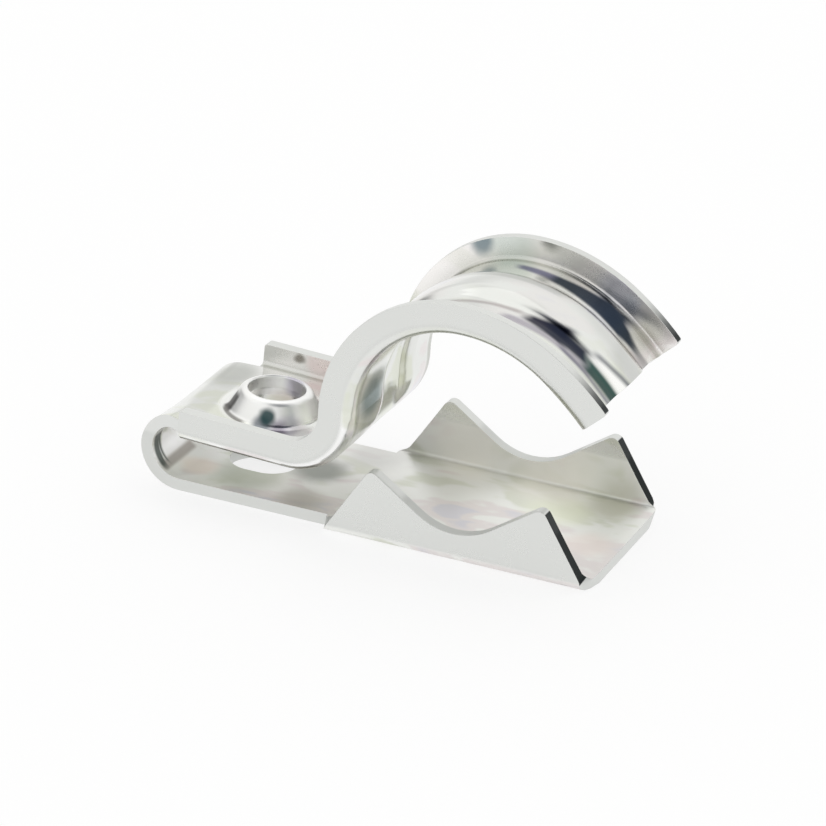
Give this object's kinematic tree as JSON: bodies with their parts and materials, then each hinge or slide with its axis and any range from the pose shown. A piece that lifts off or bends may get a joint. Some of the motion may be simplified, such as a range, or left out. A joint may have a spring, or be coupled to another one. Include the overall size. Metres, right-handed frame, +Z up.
{
  "type": "pipe clip",
  "caption": "Pipe clip folded from one strip of zinc plated sheet: ribbed spring arch over a notched saddle, hairpin fold, bolt hole through both leaves.",
  "frame": {"origin": "on the flat underside of the bottom plate, in the middle of its width, under the axis of the collar round the bolt", "axes": "+X along the clip from the hairpin fold to the free end, +Y across the strip, +Z up from the plate to the arch"},
  "size_m": [0.059, 0.025, 0.0324],
  "materials": {
    "zinc_plate": "bright zinc plating with a faint iridescent passivation, satin to glossy"
  },
  "bodies": {
    "root": {"clip_strap": "zinc_plate"}
  },
  "joints": []
}
